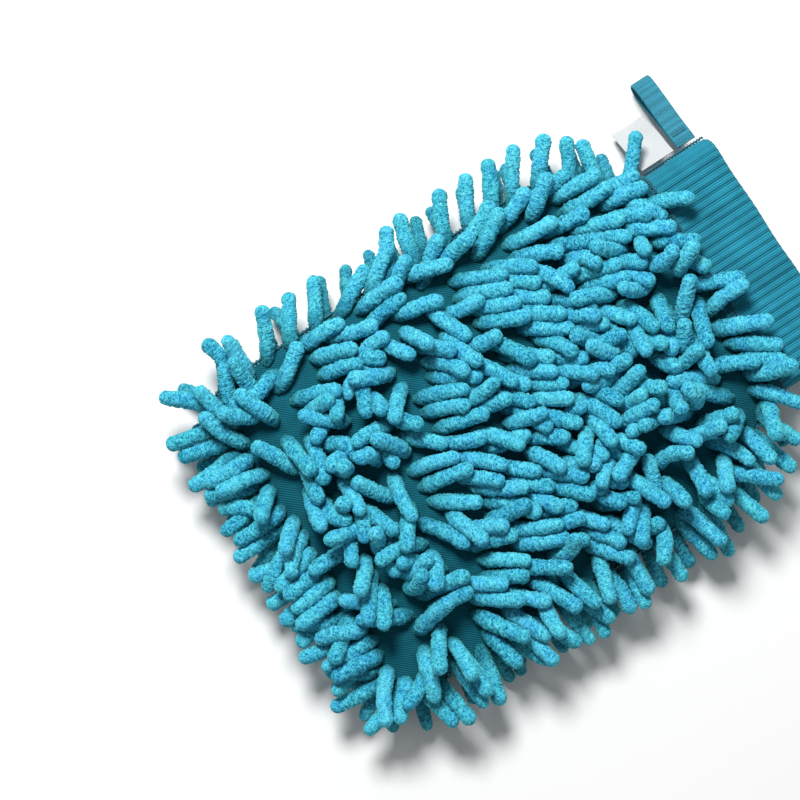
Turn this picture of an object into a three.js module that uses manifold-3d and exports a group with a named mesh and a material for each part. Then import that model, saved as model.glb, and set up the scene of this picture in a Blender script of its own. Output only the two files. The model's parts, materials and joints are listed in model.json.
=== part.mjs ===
// Double-sided chenille wash mitt, lying on its back pile, in millimetres, +Z up.
// The closed end points to -Y, the knitted cuff to +Y, and X runs across the mitt.
// Two pile fabrics, two foam pads and two linings are sewn together round the edge.
// A hand goes in through the cuff, between the linings.

import * as THREE from "three";
import * as BufferGeometryUtils from "three/addons/utils/BufferGeometryUtils.js";
import Module from "manifold-3d";

const wasm = await Module();
wasm.setup();

// ---- driving dimensions ----
const BODY_WIDTH = 170; // across the two pile fabrics, seam to seam
const BODY_LENGTH = 228; // closed end to cuff seam
const CORNER_RADIUS = 18; // at the closed end
const MOUTH_WIDTH = 120; // the body, gathered to the cuff
const TAPER_LENGTH = 46; // over which the body narrows to the cuff
const CUFF_LENGTH = 40;
const FRINGE_REACH = 22; // how far the edge fingers stand out past the fabric

const FABRIC_THICKNESS = 1.6;
const LINING_THICKNESS = 0.6;
const FOAM_THICKNESS = 3.2; // at the middle of a pad
const PAD_INSET = 20; // the pads end this far inside the seam
const PILE_HEIGHT = 14; // front fingers, two deep
const BACK_PILE_HEIGHT = 12; // back fingers, pressed down by the mitt's weight
const FRINGE_THICKNESS = 8;

const POCKET_RISE = 7; // front lining above the seam plane, at the middle
const POCKET_SAG = 1.5; // back lining below it
const END_SLOPE = 70; // length over which the closed end swells to full height

const GAP = 0.4; // clearance between neighbouring layers
const LOOSE_GAP = 0.6; // round the pile rows and the pads
const PANEL_X_STEPS = 12;
const PANEL_Y_STEPS = 18;
const EDGE_CROWDING = 1.15;
const END_CROWDING = 0.7;

const BAND_PITCH = 30.5; // pile rows come in pairs, with a bare lane between pairs
const ROW_SPACING = 13; // between the two rows of a pair
const BAND_COUNT = 7;
const FIRST_BAND = 31; // from the closed end to the middle of the first pair
const TIP_ROW = 7; // single row along the closed end
const ROW_DEPTH = 12.4; // of the strip that one row of fingers fills
const ROW_SIDE_INSET = 7; // a row ends this far inside the side seam

const CUFF_LAYER = 1.4; // one layer of rib knit
const CUFF_CHANNEL = 1.8; // between the two layers of the folded cuff
const ELASTIC_THICKNESS = 0.9;
const ELASTIC_WIDTH = 20;
const CUFF_WALL = 2 * CUFF_LAYER + CUFF_CHANNEL;
const HEM_FOLD = 1.6; // solid part of the fold at the mouth
const STITCH_BAND = 3.5; // width of the cover stitch
const STITCH_THICKNESS = 0.8;
const CUFF_SEAM_HEIGHT = 3;
const CUFF_SEAM_DEPTH = 1.2;
const SEAM_TAPE = 1.4; // overlocked edge outside the fabrics

const LOOP_WIDTH = 10; // hanging loop of woven tape
const LOOP_WALL = 1.5;
const LOOP_LENGTH = 42;
const LOOP_INNER_RADIUS = 4.5;
const LOOP_NECK = 9; // sewn flat this far out
const LOOP_FROM_MOUTH = 9;
const LOOP_DROOP = THREE.MathUtils.degToRad(24);
const LABEL_WIDTH = 18;
const LABEL_LENGTH = 30;
const LABEL_THICKNESS = 0.8;
const LABEL_FROM_JOIN = 15;
const LABEL_DROOP = THREE.MathUtils.degToRad(38);

// ---- worked-out places ----
const HALF_WIDTH = BODY_WIDTH / 2;
const HALF_MOUTH = MOUTH_WIDTH / 2;
const TIP_Y = -(BODY_LENGTH + CUFF_LENGTH + FRINGE_REACH) / 2 + FRINGE_REACH;
const JOIN_Y = TIP_Y + BODY_LENGTH;
const MOUTH_Y = JOIN_Y + CUFF_LENGTH;
const CORNER_Y = TIP_Y + CORNER_RADIUS;

// Heights at the seam, measured from the seam plane outwards.
const LINING_IN = GAP / 2;
const LINING_OUT = LINING_IN + LINING_THICKNESS;
const FABRIC_IN = LINING_OUT + GAP;
const FABRIC_OUT = FABRIC_IN + FABRIC_THICKNESS;
const FOAM_LIFT = FOAM_THICKNESS + GAP; // the fabric swells this much more than the lining
const FRONT_LIFT = POCKET_RISE + FOAM_LIFT;
const BACK_LIFT = POCKET_SAG + FOAM_LIFT;
const SEAM_Z = BACK_PILE_HEIGHT + GAP + FABRIC_OUT + BACK_LIFT;

const CUFF_TOP = SEAM_Z + FABRIC_OUT + FRONT_LIFT;
const CUFF_BOTTOM = SEAM_Z - FABRIC_OUT - BACK_LIFT;
const CUFF_HEIGHT = CUFF_TOP - CUFF_BOTTOM;
const CUFF_Z = (CUFF_TOP + CUFF_BOTTOM) / 2;

// ---- finishes ----
const finish = (color, roughness) => new THREE.MeshStandardMaterial({ color, roughness, metalness: 0 });
const PILE = finish(0x4bb6dc, 0.95);
const FABRIC = finish(0x1f6f86, 0.9);
const LINING = finish(0x9fb4bb, 0.8);
const FOAM = finish(0xe6e2d2, 0.95);
const THREAD = finish(0x1c7f9c, 0.7);
const RIB = finish(0x2789ad, 0.9);
const ELASTIC = finish(0xf2f2ee, 0.6);
const TAPE = finish(0x23799a, 0.75);
const LABEL = finish(0xf5f5f2, 0.5);

// ---- the mitt's outline and swell ----

const smoothstep = THREE.MathUtils.smoothstep;

// Half the width of the outline at y, grown outwards by the given distance.
function halfWidth(y, grow = 0) {
  if (y < CORNER_Y) {
    const radius = CORNER_RADIUS + grow;
    const down = Math.min(CORNER_Y - y, radius);
    return HALF_WIDTH - CORNER_RADIUS + Math.sqrt(radius * radius - down * down);
  }
  const narrowing = smoothstep(y, JOIN_Y - TAPER_LENGTH, JOIN_Y);
  return THREE.MathUtils.lerp(HALF_WIDTH, HALF_MOUTH, narrowing) + grow;
}

// From 0 at the seam to 1 where the mitt is fullest.
function swell(x, y) {
  const along = THREE.MathUtils.clamp((y - TIP_Y) / END_SLOPE, 0, 1);
  const rise = 1 - (1 - along) ** 2;
  const squareness = THREE.MathUtils.lerp(3, 5, smoothstep(y, JOIN_Y - TAPER_LENGTH, JOIN_Y));
  const sideways = Math.min(Math.abs(x) / halfWidth(y), 1);
  return rise * (1 - sideways ** squareness);
}

// Stations along the body, closer together at its two ends, where the outline curves.
// Every layer and edge strip turns at the same ones, so that neighbours stay parallel.
function station(fraction, inset = 0) {
  const start = TIP_Y + inset;
  const turn = 2 * Math.PI;
  const eased = fraction - (END_CROWDING * Math.sin(turn * fraction)) / turn;
  return start + (JOIN_Y - GAP - start) * eased;
}

// Stations across it, closer together at the sides, where it falls away.
function across(u) {
  return Math.sin(EDGE_CROWDING * u) / Math.sin(EDGE_CROWDING);
}

// ---- helpers ----

const everything = new THREE.Group();

function place(name, geometry, material) {
  const mesh = new THREE.Mesh(geometry, material);
  mesh.name = name;
  everything.add(mesh);
  return mesh;
}

function merged(geometry) {
  const bare = geometry.clone();
  bare.deleteAttribute("normal");
  bare.deleteAttribute("uv");
  return BufferGeometryUtils.mergeVertices(bare, 1e-3);
}

function toSolid(geometry) {
  const bare = merged(geometry);
  const vertProperties = new Float32Array(bare.attributes.position.array);
  const triVerts = new Uint32Array(bare.index.array);
  return new wasm.Manifold(new wasm.Mesh({ numProp: 3, vertProperties, triVerts }));
}

function toGeometry(solid) {
  const mesh = solid.getMesh();
  const geometry = new THREE.BufferGeometry();
  geometry.setAttribute("position", new THREE.BufferAttribute(mesh.vertProperties, 3));
  geometry.setIndex(new THREE.BufferAttribute(mesh.triVerts, 1));
  geometry.computeVertexNormals();
  return geometry;
}

// A block whose points are moved by shape(u, v, w): u and v run -1 to 1 and 0 to 1, w is 0 or 1.
function shapedBlock(uSteps, vSteps, wSteps, shape) {
  const geometry = merged(new THREE.BoxGeometry(2, 1, 1, uSteps, vSteps, wSteps));
  const points = geometry.attributes.position;
  for (let i = 0; i < points.count; i++) {
    const moved = shape(points.getX(i), points.getY(i) + 0.5, points.getZ(i) + 0.5);
    points.setXYZ(i, ...moved);
  }
  geometry.computeVertexNormals();
  return geometry;
}

// A flat outline in plan, given as points, raised from one height to another.
function slab(outline, low, high) {
  const settings = { depth: high - low, bevelEnabled: false };
  const geometry = new THREE.ExtrudeGeometry(new THREE.Shape(outline), settings);
  geometry.translate(0, 0, low);
  return geometry;
}

// ---- layers of the body ----

// One cloth or pad of the body: side is 1 for the front and -1 for the back.
// inner and outer give its two faces as [height at the seam, extra height at full swell].
function layer(side, inset, inner, outer) {
  return shapedBlock(PANEL_X_STEPS, PANEL_Y_STEPS, 1, (u, v, w) => {
    const y = station(v, inset);
    const x = across(u) * halfWidth(y, -inset);
    const [seam, lift] = (side > 0) === (w > 0.5) ? outer : inner;
    return [x, y, SEAM_Z + side * (seam + lift * swell(x, y))];
  });
}

function body(side, word, liningLift, fabricLift) {
  const padIn = [LINING_OUT + LOOSE_GAP, liningLift];
  const padOut = [FABRIC_IN - LOOSE_GAP, fabricLift];
  const lining = layer(side, 0, [LINING_IN, liningLift], [LINING_OUT, liningLift]);
  const pad = layer(side, PAD_INSET, padIn, padOut);
  const fabric = layer(side, 0, [FABRIC_IN, fabricLift], [FABRIC_OUT, fabricLift]);
  place(`${word}_lining`, lining, LINING);
  place(`${word}_foam_pad`, pad, FOAM);
  place(`${word}_pile_fabric`, fabric, FABRIC);
}

body(1, "front", POCKET_RISE, FRONT_LIFT);
body(-1, "back", POCKET_SAG, BACK_LIFT);

// ---- rows of chenille fingers ----

function rowPlaces() {
  const places = [TIP_ROW];
  for (let band = 0; band < BAND_COUNT; band++) {
    const middle = FIRST_BAND + band * BAND_PITCH;
    places.push(middle - ROW_SPACING / 2, middle + ROW_SPACING / 2);
  }
  return places;
}

// The strip that one row fills. Its inner face follows the fabric; its outer face is
// a crown on the front, and flat on the ground on the back.
function rowStrip(side, rowY) {
  const lift = side > 0 ? FRONT_LIFT : BACK_LIFT;
  return shapedBlock(PANEL_X_STEPS, 2, 1, (u, v, w) => {
    const y = TIP_Y + rowY + (v - 0.5) * ROW_DEPTH;
    const x = across(u) * (halfWidth(y) - ROW_SIDE_INSET);
    const skin = SEAM_Z + side * (FABRIC_OUT + LOOSE_GAP + lift * swell(x, y));
    if ((side > 0) !== (w > 0.5)) {
      return [x, y, skin];
    }
    const crown = Math.abs(v - 0.5) < 0.1 ? PILE_HEIGHT : PILE_HEIGHT - 2.5;
    return [x, y, side > 0 ? skin + crown : 0];
  });
}

rowPlaces().forEach((rowY, index) => {
  const number = String(index + 1).padStart(2, "0");
  place(`front_chenille_row_${number}`, rowStrip(1, rowY), PILE);
  place(`back_chenille_row_${number}`, rowStrip(-1, rowY), PILE);
});

// ---- the fringe of fingers round the edge ----

// Points down one long side, at a distance outside the fabric.
function sidePoints(side, grow) {
  const places = [CORNER_Y + GAP];
  for (let step = 1; step <= PANEL_Y_STEPS; step++) {
    places.push(station(step / PANEL_Y_STEPS));
  }
  const straight = places.filter((y) => y >= CORNER_Y + GAP);
  return straight.map((y) => new THREE.Vector2(side * halfWidth(y, grow), y));
}

// Points round the closed end, from one corner to the other.
function endPoints(grow) {
  const path = new THREE.Path();
  const reach = HALF_WIDTH - CORNER_RADIUS;
  path.absarc(-reach, CORNER_Y, CORNER_RADIUS + grow, Math.PI, 1.5 * Math.PI, false);
  path.absarc(reach, CORNER_Y, CORNER_RADIUS + grow, 1.5 * Math.PI, 2 * Math.PI, false);
  return path.getPoints(8);
}

function ribbon(inner, outer, low, high) {
  return slab([...inner, ...outer.reverse()], low, high);
}

function fringe(word, low, high) {
  const near = SEAM_TAPE + 2 * GAP;
  const side = (sign) => ribbon(sidePoints(sign, near), sidePoints(sign, FRINGE_REACH), low, high);
  place(`${word}_left_edge_fingers`, side(-1), PILE);
  place(`${word}_right_edge_fingers`, side(1), PILE);
  place(`${word}_end_edge_fingers`, ribbon(endPoints(near), endPoints(FRINGE_REACH), low, high), PILE);
}

fringe("front", SEAM_Z + GAP, SEAM_Z + GAP + FRINGE_THICKNESS);
fringe("back", SEAM_Z - GAP - FRINGE_THICKNESS, SEAM_Z - GAP);

// ---- the overlocked seam round the body ----

function seamPath(grow) {
  return [...sidePoints(-1, grow).reverse(), ...endPoints(grow), ...sidePoints(1, grow)];
}

const seam = ribbon(seamPath(GAP), seamPath(GAP + SEAM_TAPE), SEAM_Z - FABRIC_OUT, SEAM_Z + FABRIC_OUT);
place("edge_seam", seam, THREAD);

// ---- knitted cuff ----

// A flattened ring: its outer faces are shrunk from the cuff's by inset.
function ovalPath(inset, PathClass) {
  const radius = CUFF_HEIGHT / 2 - inset;
  const straight = HALF_MOUTH - CUFF_HEIGHT / 2;
  const path = new PathClass();
  path.absarc(straight, 0, radius, -Math.PI / 2, Math.PI / 2, false);
  path.absarc(-straight, 0, radius, Math.PI / 2, 1.5 * Math.PI, false);
  path.closePath();
  return path;
}

// A ring between two insets, running along Y.
function ovalRing(outerInset, innerInset, fromY, toY) {
  const shape = ovalPath(outerInset, THREE.Shape);
  shape.holes.push(ovalPath(innerInset, THREE.Path));
  const settings = { depth: toY - fromY, bevelEnabled: false, curveSegments: 10 };
  const geometry = new THREE.ExtrudeGeometry(shape, settings);
  geometry.rotateX(Math.PI / 2);
  geometry.translate(0, toY, CUFF_Z);
  return geometry;
}

// Two layers of rib joined by the fold at the mouth, with the channel open at the seam end.
const outerLayer = toSolid(ovalRing(0, CUFF_LAYER, JOIN_Y + GAP, MOUTH_Y));
const innerLayer = toSolid(ovalRing(CUFF_WALL - CUFF_LAYER, CUFF_WALL, JOIN_Y + GAP, MOUTH_Y));
const hem = toSolid(ovalRing(CUFF_LAYER / 2, CUFF_WALL - CUFF_LAYER / 2, MOUTH_Y - HEM_FOLD, MOUTH_Y));
place("rib_cuff", toGeometry(outerLayer.add(innerLayer).add(hem)), RIB);

const elasticInset = CUFF_LAYER + (CUFF_CHANNEL - ELASTIC_THICKNESS) / 2;
const elasticEnd = MOUTH_Y - HEM_FOLD - GAP;
const elastic = ovalRing(
  elasticInset,
  elasticInset + ELASTIC_THICKNESS,
  elasticEnd - ELASTIC_WIDTH,
  elasticEnd,
);
place("cuff_elastic", elastic, ELASTIC);

// A row of cover stitch on the cuff, beside its join to the body.
const stitchY = JOIN_Y + GAP + 1.5;
const coverStitch = ovalRing(-GAP - STITCH_THICKNESS, -GAP, stitchY, stitchY + STITCH_BAND);
place("cuff_join_stitching", coverStitch, THREAD);

// The lengthwise seam of the cuff, at its left-hand side.
const cuffSeamX = -HALF_MOUTH - GAP;
const cuffSeamStart = stitchY + STITCH_BAND + GAP;
const cuffSeamEnd = MOUTH_Y - 1;
const cuffSeamLength = cuffSeamEnd - cuffSeamStart;
const cuffSeam = new THREE.BoxGeometry(CUFF_SEAM_DEPTH, cuffSeamLength, CUFF_SEAM_HEIGHT);
cuffSeam.translate(cuffSeamX - CUFF_SEAM_DEPTH / 2, (cuffSeamEnd + cuffSeamStart) / 2, CUFF_Z);
place("cuff_side_seam", cuffSeam, THREAD);

// ---- hanging loop and care label, caught in the cuff's side seam ----

const PIVOT_X = cuffSeamX - CUFF_SEAM_DEPTH - 2 * GAP; // both turn about a line along Y here
const ROOT_START = 0.5; // the cloth begins this far from the line
const ROOT_HALF = 0.3; // half its thickness there
const LOOP_Y = MOUTH_Y - LOOP_FROM_MOUTH; // middle of the loop's tape
const LABEL_Y = JOIN_Y + LABEL_FROM_JOIN;

// The loop's side view: a narrow neck that opens to a round end.
function loopOutline(PathClass, start, neckHalf, radius) {
  const centre = LOOP_LENGTH - LOOP_INNER_RADIUS - LOOP_WALL;
  const path = new PathClass();
  path.moveTo(start, -neckHalf);
  path.bezierCurveTo(start + 8, -neckHalf, centre - 12, -radius, centre, -radius);
  path.absarc(centre, 0, radius, -Math.PI / 2, Math.PI / 2, false);
  path.bezierCurveTo(centre - 12, radius, start + 8, neckHalf, start, neckHalf);
  path.closePath();
  return path;
}

function hangingLoop() {
  const outer = loopOutline(THREE.Shape, ROOT_START, ROOT_HALF, LOOP_INNER_RADIUS + LOOP_WALL);
  outer.holes.push(loopOutline(THREE.Path, LOOP_NECK, ROOT_HALF, LOOP_INNER_RADIUS));
  const settings = { depth: LOOP_WIDTH, bevelEnabled: false, curveSegments: 8 };
  const geometry = new THREE.ExtrudeGeometry(outer, settings);
  geometry.translate(0, 0, -LOOP_WIDTH / 2);
  geometry.rotateX(Math.PI / 2);
  return geometry;
}

const loop = place("hanging_loop", hangingLoop(), TAPE);
loop.position.set(PIVOT_X, LOOP_Y, CUFF_Z);
loop.rotation.set(0, -LOOP_DROOP, Math.PI);

const labelCloth = new THREE.BoxGeometry(LABEL_LENGTH, LABEL_WIDTH, LABEL_THICKNESS);
labelCloth.translate(ROOT_START + LABEL_LENGTH / 2, 0, 0);
const label = place("care_label", labelCloth, LABEL);
label.position.set(PIVOT_X, LABEL_Y, CUFF_Z);
label.rotation.set(0, -LABEL_DROOP, Math.PI);

export default everything;
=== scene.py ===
"""A double-sided chenille wash mitt with a knitted cuff, lying on its back pile.

Lengths inside this file are millimetres, in the row frame: the closed end points to -Y,
the cuff to +Y, X runs across, +Z is up and the floor is Z = 0. They become metres when
a mesh is made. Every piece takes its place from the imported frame's boxes.
"""

import json
import math

import bpy
import numpy as np
from mathutils import Matrix, Vector


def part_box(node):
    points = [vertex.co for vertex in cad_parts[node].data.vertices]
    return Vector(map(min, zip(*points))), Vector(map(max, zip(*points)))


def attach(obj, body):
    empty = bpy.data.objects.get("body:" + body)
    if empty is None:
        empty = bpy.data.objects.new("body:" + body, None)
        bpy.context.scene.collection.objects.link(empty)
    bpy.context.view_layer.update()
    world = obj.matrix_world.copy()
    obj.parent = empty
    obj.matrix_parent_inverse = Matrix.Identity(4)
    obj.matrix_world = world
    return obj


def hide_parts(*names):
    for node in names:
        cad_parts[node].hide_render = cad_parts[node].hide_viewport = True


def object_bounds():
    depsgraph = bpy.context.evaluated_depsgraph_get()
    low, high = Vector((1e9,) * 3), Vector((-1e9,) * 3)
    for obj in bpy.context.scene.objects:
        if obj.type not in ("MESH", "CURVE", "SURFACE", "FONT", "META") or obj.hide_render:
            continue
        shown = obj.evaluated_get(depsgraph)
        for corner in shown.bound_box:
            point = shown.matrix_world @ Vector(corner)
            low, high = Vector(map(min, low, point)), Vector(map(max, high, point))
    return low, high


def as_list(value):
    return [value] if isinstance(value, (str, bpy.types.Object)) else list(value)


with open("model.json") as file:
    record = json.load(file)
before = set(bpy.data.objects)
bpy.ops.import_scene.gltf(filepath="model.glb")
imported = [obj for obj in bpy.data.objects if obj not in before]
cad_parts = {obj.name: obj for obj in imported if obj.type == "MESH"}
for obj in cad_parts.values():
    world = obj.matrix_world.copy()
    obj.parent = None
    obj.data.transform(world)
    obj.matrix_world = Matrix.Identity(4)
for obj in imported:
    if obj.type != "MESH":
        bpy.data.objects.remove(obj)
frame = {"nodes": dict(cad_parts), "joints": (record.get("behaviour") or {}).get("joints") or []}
cad_low, cad_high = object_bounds()

MM = 0.001
rng = np.random.default_rng(11)
scene = bpy.context.scene

# ---- camera ----

VIEW_FROM_MIDDLE = -34.2  # the picture's centre across the mitt
VIEW_FROM_TIP = 79.5  # and on from its closed end
VIEW_HEIGHT = 30.0
VIEW_WIDTH = 372.6
VIEW_DISTANCE = 1150.0
VIEW_REACH = 20  # metres
VIEW_TURN = math.radians(57)  # the mitt lies turned by this much
VIEW_TILT = math.radians(3)  # from straight above
SENSOR = 36.0


def add_camera():
    data = bpy.data.cameras.new("camera")
    data.sensor_width = SENSOR
    data.lens = SENSOR * VIEW_DISTANCE / VIEW_WIDTH
    data.clip_end = VIEW_REACH
    camera = bpy.data.objects.new("camera", data)
    scene.collection.objects.link(camera)
    turn = Matrix.Rotation(VIEW_TURN, 4, "Z") @ Matrix.Rotation(VIEW_TILT, 4, "X")
    back = turn @ Vector((0, 0, VIEW_DISTANCE * MM))
    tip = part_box("front_pile_fabric")[0].y / MM
    centre = Vector((VIEW_FROM_MIDDLE, tip + VIEW_FROM_TIP, VIEW_HEIGHT)) * MM
    camera.matrix_world = Matrix.Translation(centre + back) @ turn
    scene.camera = camera


add_camera()

# ---- sizes from the frame ----

GAP = 0.4  # clearance between neighbouring layers


def box_mm(node):
    low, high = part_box(node)
    return np.array(low) / MM, np.array(high) / MM


fabric_low, fabric_high = box_mm("front_pile_fabric")
back_low = box_mm("back_pile_fabric")[0]
seam_low, seam_high = box_mm("edge_seam")
cuff_low, cuff_high = box_mm("rib_cuff")
front_lining_low, front_lining_high = box_mm("front_lining")
back_lining_low = box_mm("back_lining")[0]

HALF_WIDTH = fabric_high[0]
HALF_MOUTH = cuff_high[0]
TIP_Y = fabric_low[1]
JOIN_Y = cuff_low[1] - GAP
MOUTH_Y = cuff_high[1]
CORNER_RADIUS = 18.0
CORNER_X = HALF_WIDTH - CORNER_RADIUS
CORNER_Y = TIP_Y + CORNER_RADIUS
TAPER_LENGTH = 46.0  # where the body narrows to the cuff
END_SLOPE = 70.0  # where it swells from the closed end
BODY_SQUARENESS = 3.0  # of its sections, which are squarer at the cuff
CUFF_SQUARENESS = 5.0

SEAM_Z = (seam_low[2] + seam_high[2]) / 2
FABRIC_OUT = (seam_high[2] - seam_low[2]) / 2
FRONT_LIFT = fabric_high[2] - SEAM_Z - FABRIC_OUT
BACK_LIFT = SEAM_Z - FABRIC_OUT - back_low[2]
LINING_IN = front_lining_low[2] - SEAM_Z
LINING_THICKNESS = 0.6
FABRIC_THICKNESS = 1.6
POCKET_RISE = front_lining_high[2] - SEAM_Z - LINING_IN - LINING_THICKNESS
POCKET_SAG = SEAM_Z - back_lining_low[2] - LINING_IN - LINING_THICKNESS
PAD_INSET = 20.0


def lerp(a, b, t):
    return a + (b - a) * t


def smoothstep(value, low, high):
    t = np.clip((value - low) / (high - low), 0, 1)
    return t * t * (3 - 2 * t)


def narrowing(y):
    """From 0 along the body to 1 where it meets the cuff."""
    return smoothstep(y, JOIN_Y - TAPER_LENGTH, JOIN_Y)


def half_width(y, grow=0.0):
    """Half the width of the mitt's outline at y, grown outwards."""
    radius = CORNER_RADIUS + grow
    down = np.clip(CORNER_Y - y, 0, radius)
    corner = CORNER_X + np.sqrt(radius * radius - down * down)
    return np.where(y < CORNER_Y, corner, lerp(HALF_WIDTH, HALF_MOUTH, narrowing(y)) + grow)


def swell(x, y):
    """From 0 at the seam to 1 where the mitt is fullest."""
    along = np.clip((y - TIP_Y) / END_SLOPE, 0, 1)
    squareness = lerp(BODY_SQUARENESS, CUFF_SQUARENESS, narrowing(y))
    sideways = np.minimum(np.abs(x) / half_width(y), 1)
    return (1 - (1 - along) ** 2) * (1 - sideways**squareness)


def skin(side, x, y):
    """Height of the outer face of a pile fabric: side is 1 for the front and -1 for the back."""
    lift = np.where(np.asarray(side) > 0, FRONT_LIFT, BACK_LIFT)
    return SEAM_Z + side * (FABRIC_OUT + lift * swell(x, y))


def skin_under(side, x, y):
    """The same height, carried on level past the fabric's edge."""
    return skin(side, np.clip(x, -half_width(y), half_width(y)), np.clip(y, TIP_Y, JOIN_Y))


# ---- making meshes ----

THREAD_SIDES = 6
TURN = 2 * math.pi
UP = np.array([0.0, 0.0, 1.0])


def new_object(name, points, faces, attributes=None):
    """A smooth mesh piece from points in millimetres and arrays of quads and triangles."""
    mesh = bpy.data.meshes.new(name)
    points = np.asarray(points, np.float64).reshape(-1, 3) * MM
    mesh.vertices.add(len(points))
    mesh.vertices.foreach_set("co", points.astype(np.float32).ravel())
    corners = np.concatenate([np.asarray(f, np.int32).ravel() for f in faces])
    sizes = np.concatenate([np.full(len(f), len(f[0]), np.int32) for f in faces])
    starts = np.concatenate([[0], np.cumsum(sizes)[:-1]]).astype(np.int32)
    mesh.loops.add(len(corners))
    mesh.loops.foreach_set("vertex_index", corners)
    mesh.polygons.add(len(sizes))
    mesh.polygons.foreach_set("loop_start", starts)
    mesh.update(calc_edges=True)
    mesh.shade_smooth()
    for key, values in (attributes or {}).items():
        attribute = mesh.attributes.new(key, "FLOAT", "POINT")
        attribute.data.foreach_set("value", np.asarray(values, np.float32).ravel())
    obj = bpy.data.objects.new(name, mesh)
    scene.collection.objects.link(obj)
    return obj


def grid_faces(rows, columns, wrap_rows=False, wrap_columns=False):
    """Quads of a grid of points numbered row by row, joined round where asked."""
    last_row = rows if wrap_rows else rows - 1
    last_column = columns if wrap_columns else columns - 1
    r, c = np.meshgrid(np.arange(last_row), np.arange(last_column), indexing="ij")
    up, right = (r + 1) % rows, (c + 1) % columns
    quads = [r * columns + c, r * columns + right, up * columns + right, up * columns + c]
    return np.stack(quads, -1).reshape(-1, 4)


def xyz(x, y, z):
    return np.stack([x, y, z], -1)


def parts_of(points):
    return np.moveaxis(points, -1, 0)


def unit(vectors):
    return vectors / np.maximum(np.linalg.norm(vectors, axis=-1, keepdims=True), 1e-9)


def carried_frames(centres, start):
    """Tangents and two cross directions along many centre-lines, carried without twisting."""
    tangents = unit(np.gradient(centres, axis=1))
    first = np.zeros_like(centres)
    side = start
    for k in range(centres.shape[1]):
        t = tangents[:, k]
        side = unit(side - np.sum(side * t, -1, keepdims=True) * t)
        first[:, k] = side
    return tangents, first, np.cross(tangents, first)


def once_round(sides):
    """Angles evenly round a circle."""
    return np.linspace(0, TURN, sides, endpoint=False)


def tube(path, radius, closed=False):
    """Points and quads of one thread along a path."""
    if closed:
        tangents = unit(np.roll(path, -1, 0) - np.roll(path, 1, 0))
    else:
        tangents = unit(np.gradient(path, axis=0))
    steep = np.abs(tangents[:, 2:3]) >= 0.8
    first = unit(np.cross(tangents, np.where(steep, [[1.0, 0, 0]], [[0, 0, 1.0]])))
    second = np.cross(tangents, first)
    turn = once_round(THREAD_SIDES)[:, None]
    around = np.cos(turn) * first[:, None] + np.sin(turn) * second[:, None]
    points = path[:, None] + radius * around
    return points.reshape(-1, 3), grid_faces(len(path), THREAD_SIDES, closed, True)


def joined(parts):
    """One shape from several (points, quads)."""
    points, faces, count = [], [], 0
    for part_points, part_faces in parts:
        points.append(part_points)
        faces.append(part_faces + count)
        count += len(part_points)
    return np.concatenate(points), [np.concatenate(faces)]


# ---- materials ----

MIX_COLOURS = (6, 7)  # the numbers of a Mix node's two colour inputs
MIX_RESULT = 2  # and of its colour output


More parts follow.
